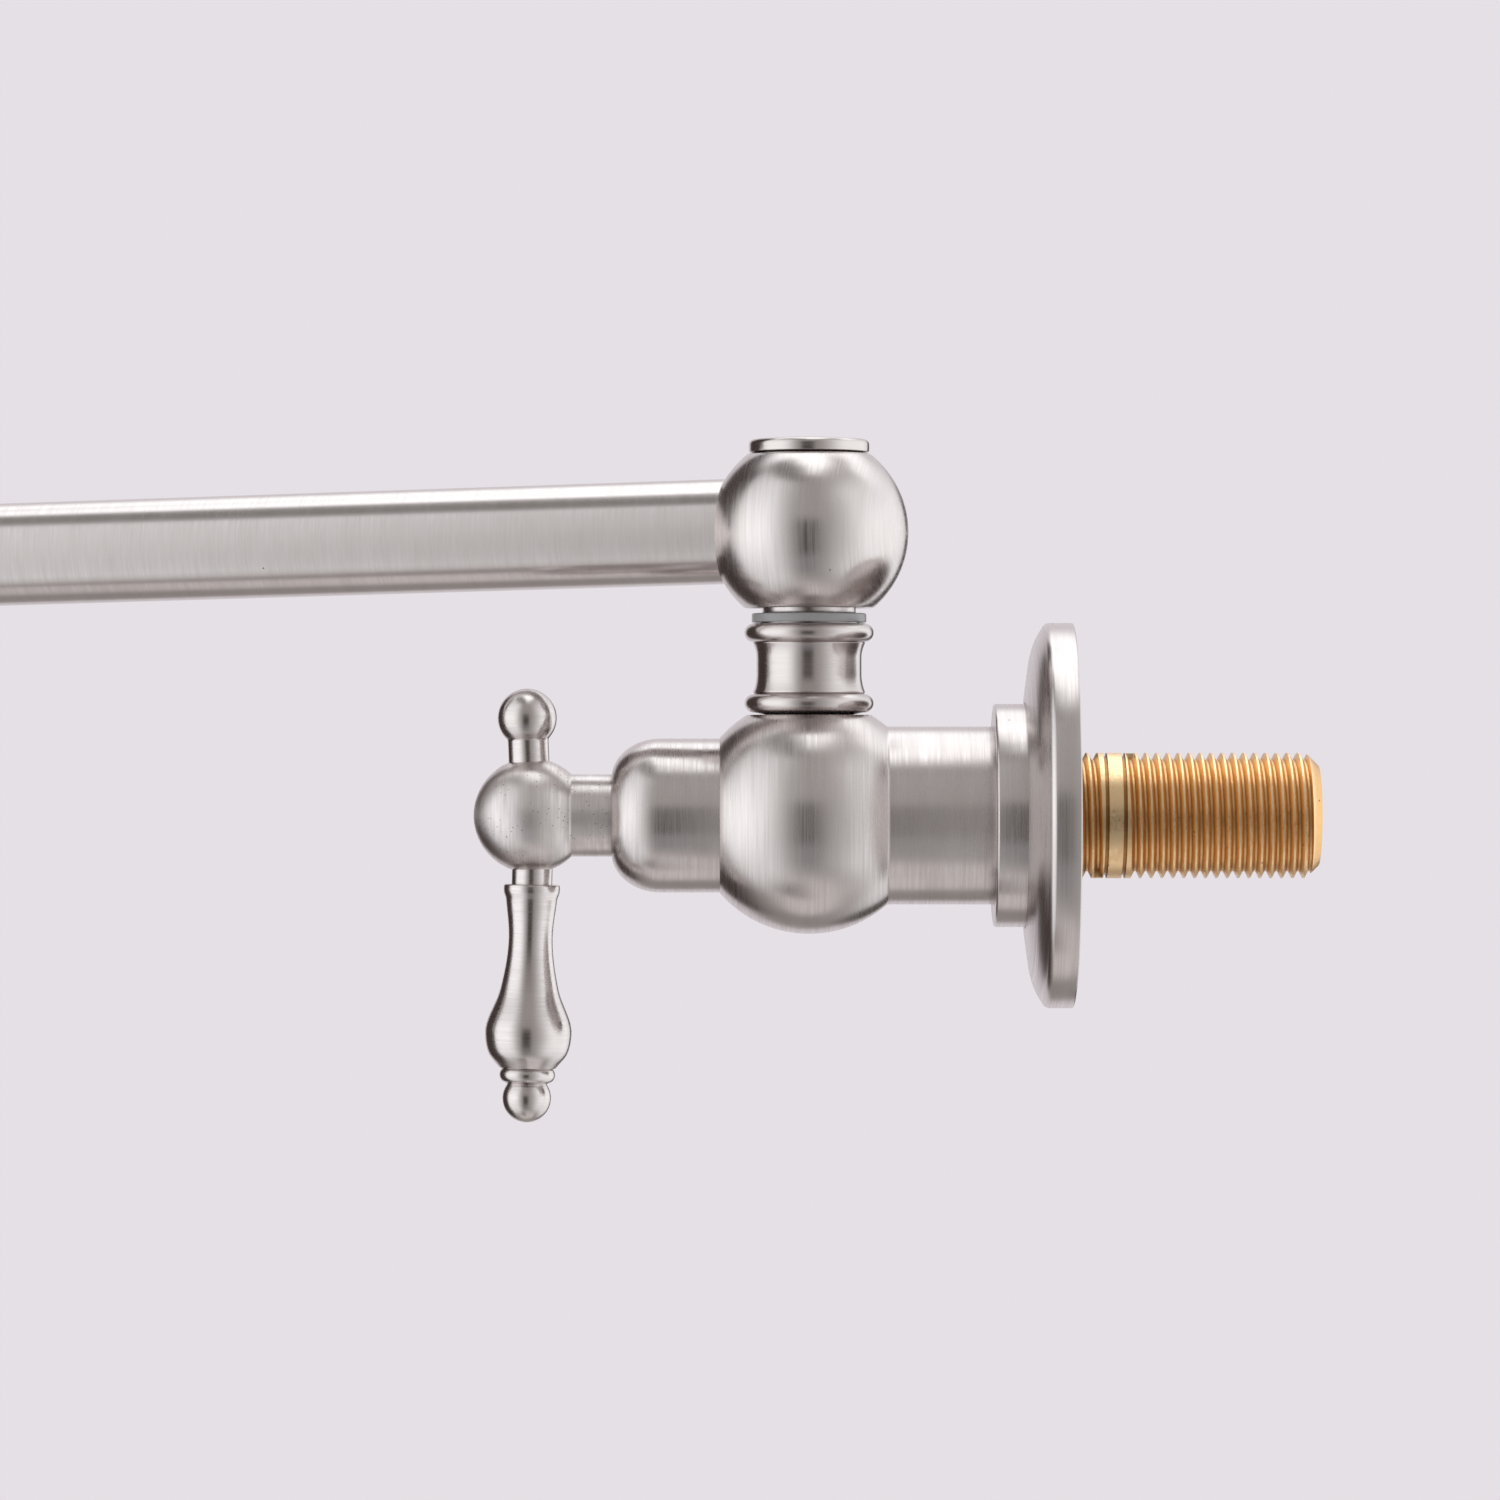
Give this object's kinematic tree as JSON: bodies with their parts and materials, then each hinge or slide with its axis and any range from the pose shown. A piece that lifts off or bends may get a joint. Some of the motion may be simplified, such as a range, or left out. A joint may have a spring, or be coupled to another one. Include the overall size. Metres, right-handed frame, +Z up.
{
  "type": "wall mounted pot filler",
  "caption": "Wall mounted pot filler tap with a double-jointed swing arm, a shut-off valve with a drop lever at each end and a short spout.",
  "frame": {"origin": "where the axis of the inlet nipple crosses the wall plane, at the centre of the flange's back", "axes": "+Y into the wall along the inlet nipple, +Z up along the swivel posts, +X to the right for a person who faces the wall"},
  "size_m": [0.1647, 0.6065, 0.1328],
  "materials": {
    "brushed_nickel": "brushed",
    "raw_brass": "as machined",
    "grey_nylon": "moulded",
    "black_rubber": "matt",
    "stainless_steel": "bright",
    "ceramic": "lapped",
    "white_acetal": "moulded"
  },
  "bodies": {
    "wall_valve": {"inlet_nipple": "raw_brass", "wall_flange": "brushed_nickel", "wall_gasket": "black_rubber", "flange_collar": "brushed_nickel", "collar_o_ring": "black_rubber", "wall_valve_body": "brushed_nickel", "wall_bonnet": "brushed_nickel", "wall_cartridge_body": "raw_brass", "wall_cartridge_o_ring": "black_rubber", "wall_fixed_disc": "ceramic", "wall_seat_seal": "black_rubber", "shoulder_neck": "brushed_nickel", "shoulder_thrust_washer": "grey_nylon", "shoulder_post_o_rings": "black_rubber", "shoulder_retaining_washer": "stainless_steel", "shoulder_retaining_screw": "stainless_steel"},
    "wall_handle": {"wall_moving_disc": "ceramic", "wall_spindle": "raw_brass", "wall_spindle_o_rings": "black_rubber", "wall_spindle_clip": "stainless_steel", "wall_handle_hub": "brushed_nickel", "wall_handle_finial": "brushed_nickel", "wall_handle_lever": "brushed_nickel"},
    "inner_arm": {"shoulder_ball": "brushed_nickel", "shoulder_cap": "brushed_nickel", "inner_arm_tube": "brushed_nickel", "elbow_ball": "brushed_nickel", "elbow_cap": "brushed_nickel"},
    "outer_arm": {"elbow_neck": "brushed_nickel", "elbow_thrust_washer": "grey_nylon", "elbow_post_o_rings": "black_rubber", "elbow_retaining_washer": "stainless_steel", "elbow_retaining_screw": "stainless_steel", "elbow_lower_ball": "brushed_nickel", "outer_arm_tube": "brushed_nickel", "outlet_valve_body": "brushed_nickel", "outlet_bonnet": "brushed_nickel", "outlet_cartridge_body": "raw_brass", "outlet_cartridge_o_ring": "black_rubber", "outlet_fixed_disc": "ceramic", "outlet_seat_seal": "black_rubber", "spout_neck": "brushed_nickel", "spout_tube": "brushed_nickel", "aerator_housing": "brushed_nickel", "aerator_insert": "white_acetal", "aerator_washer": "black_rubber"},
    "outlet_handle": {"outlet_moving_disc": "ceramic", "outlet_spindle": "raw_brass", "outlet_spindle_o_rings": "black_rubber", "outlet_spindle_clip": "stainless_steel", "outlet_handle_hub": "brushed_nickel", "outlet_handle_finial": "brushed_nickel", "outlet_handle_lever": "brushed_nickel"}
  },
  "joints": [
    {"name": "shoulder_swivel", "type": "hinge", "parent": "wall_valve", "child": "inner_arm", "pos_m": [0, -0.044, 0.0473], "axis": [0, 0, 1], "range_deg": [-76.5, 103.5]},
    {"name": "elbow_swivel", "type": "hinge", "parent": "inner_arm", "child": "outer_arm", "pos_m": [-0.07003, -0.33571, 0.04049], "axis": [0, 0, 1], "range_deg": [-180, 180]},
    {"name": "wall_handle_turn", "type": "hinge", "parent": "wall_valve", "child": "wall_handle", "pos_m": [0, -0.0904, 0], "axis": [0, -1, 0], "range_deg": [0, 90]},
    {"name": "outlet_handle_turn", "type": "hinge", "parent": "outer_arm", "child": "outlet_handle", "pos_m": [-0.12289, -0.55586, -0.00709], "axis": [-0.2334, -0.9724, 0], "range_deg": [0, 90]}
  ]
}
